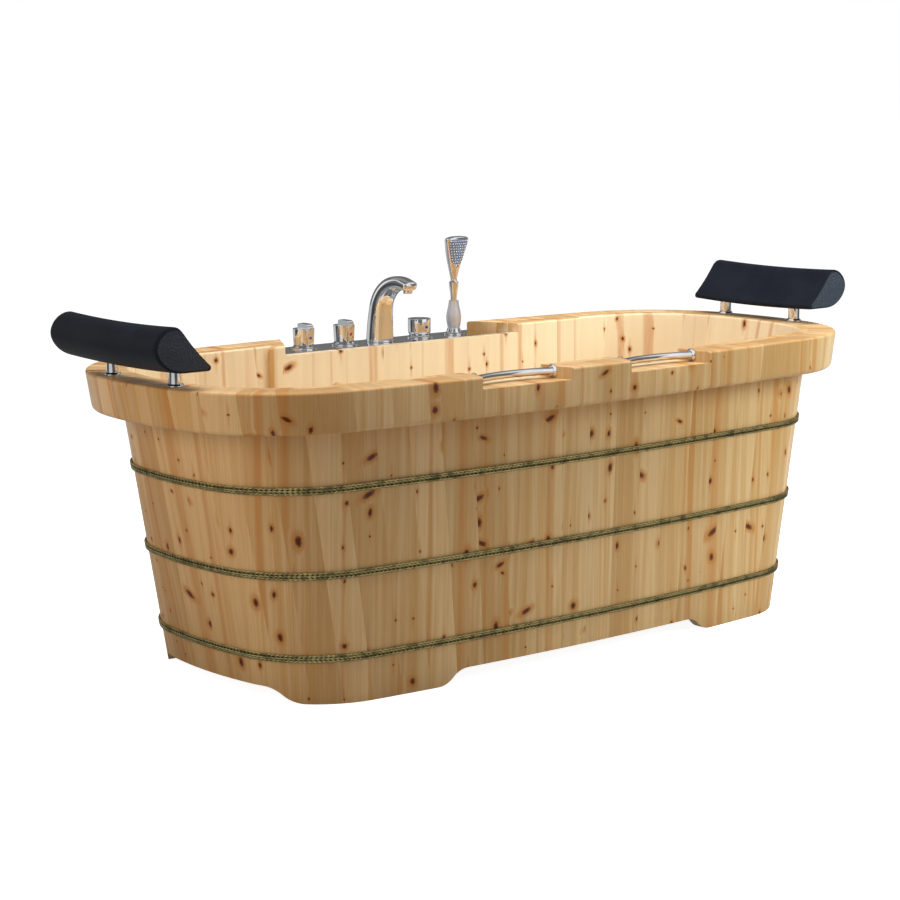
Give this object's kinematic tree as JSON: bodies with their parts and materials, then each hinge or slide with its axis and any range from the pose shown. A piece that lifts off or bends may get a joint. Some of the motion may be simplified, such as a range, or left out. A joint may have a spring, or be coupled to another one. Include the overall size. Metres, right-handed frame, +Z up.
{
  "type": "wooden bathtub",
  "caption": "Oval stave-built wooden bathtub with wire hoops, padded headrests on posts, grab rails in the rim, a lever bath filler with hand shower, and a floor waste.",
  "frame": {"origin": "on the floor, under the middle of the tub", "axes": "+X along the length, to the right seen from the grab rails; +Y across, towards the taps; +Z up"},
  "size_m": [1.778, 0.7196, 0.7664],
  "materials": {
    "wood": "oiled, satin, knotty",
    "hoop_brass": "antique, twisted wire",
    "chrome": "polished",
    "satin_metal": "satin",
    "brass": "machined",
    "steel": "plain",
    "nozzle_grey": "matte",
    "black_foam": "satin moulded skin",
    "seal_rubber": "matte",
    "cold_blue": "gloss",
    "hot_red": "gloss"
  },
  "bodies": {
    "tub": {"back_rim_blocks": "wood", "back_staves": "wood", "cold_flange": "chrome", "cold_valve_body": "brass", "deck_nuts": "brass", "deck_plate": "chrome", "deck_washers": "seal_rubber", "diverter_flange": "chrome", "diverter_valve_body": "brass", "floor_battens": "wood", "floor_boards": "wood", "floor_screws": "steel", "front_rim_blocks": "wood", "front_staves": "wood", "headrest_posts": "chrome", "hot_flange": "chrome", "hot_valve_body": "brass", "ledge_boards": "wood", "left_end_rim_blocks": "wood", "left_end_staves": "wood", "left_grab_rail": "chrome", "left_headrest": "black_foam", "lower_hoop": "hoop_brass", "middle_hoop": "hoop_brass", "mixing_pipes": "brass", "post_collars": "chrome", "post_studs": "steel", "rail_flanges": "chrome", "rail_screws": "steel", "right_end_rim_blocks": "wood", "right_end_staves": "wood", "right_grab_rail": "chrome", "right_headrest": "black_foam", "shower_cradle": "chrome", "spout": "chrome", "spout_aerator": "nozzle_grey", "upper_hoop": "hoop_brass", "waste_body": "chrome", "waste_nut": "brass", "waste_seal": "seal_rubber"},
    "cold_tap": {"cold_handle": "chrome", "cold_spindle": "brass", "cold_dot": "cold_blue"},
    "hot_tap": {"hot_handle": "chrome", "hot_spindle": "brass", "hot_dot": "hot_red"},
    "diverter": {"diverter_knob": "chrome", "diverter_spindle": "brass", "diverter_dot": "cold_blue"},
    "hand_shower": {"shower_head": "chrome", "shower_face": "nozzle_grey", "shower_grip": "satin_metal", "hose_connector": "chrome"},
    "plug": {"waste_plug": "chrome", "plug_stem": "brass"}
  },
  "joints": [
    {"name": "cold_turn", "type": "hinge", "parent": "tub", "child": "cold_tap", "pos_m": [-0.213, 0.312, 0.566], "axis": [0, 0, 1], "range_deg": [0, 90]},
    {"name": "hot_turn", "type": "hinge", "parent": "tub", "child": "hot_tap", "pos_m": [-0.11, 0.312, 0.566], "axis": [0, 0, 1], "range_deg": [0, 90]},
    {"name": "diverter_turn", "type": "hinge", "parent": "tub", "child": "diverter", "pos_m": [0.09, 0.312, 0.566], "axis": [0, 0, 1], "range_deg": [0, 90]},
    {"name": "hand_shower_lift", "type": "slide", "parent": "tub", "child": "hand_shower", "axis": [0, 0, 1], "range_m": [0, 0.3]},
    {"name": "plug_lift", "type": "slide", "parent": "tub", "child": "plug", "axis": [0, 0, 1], "range_m": [0, 0.01]}
  ]
}
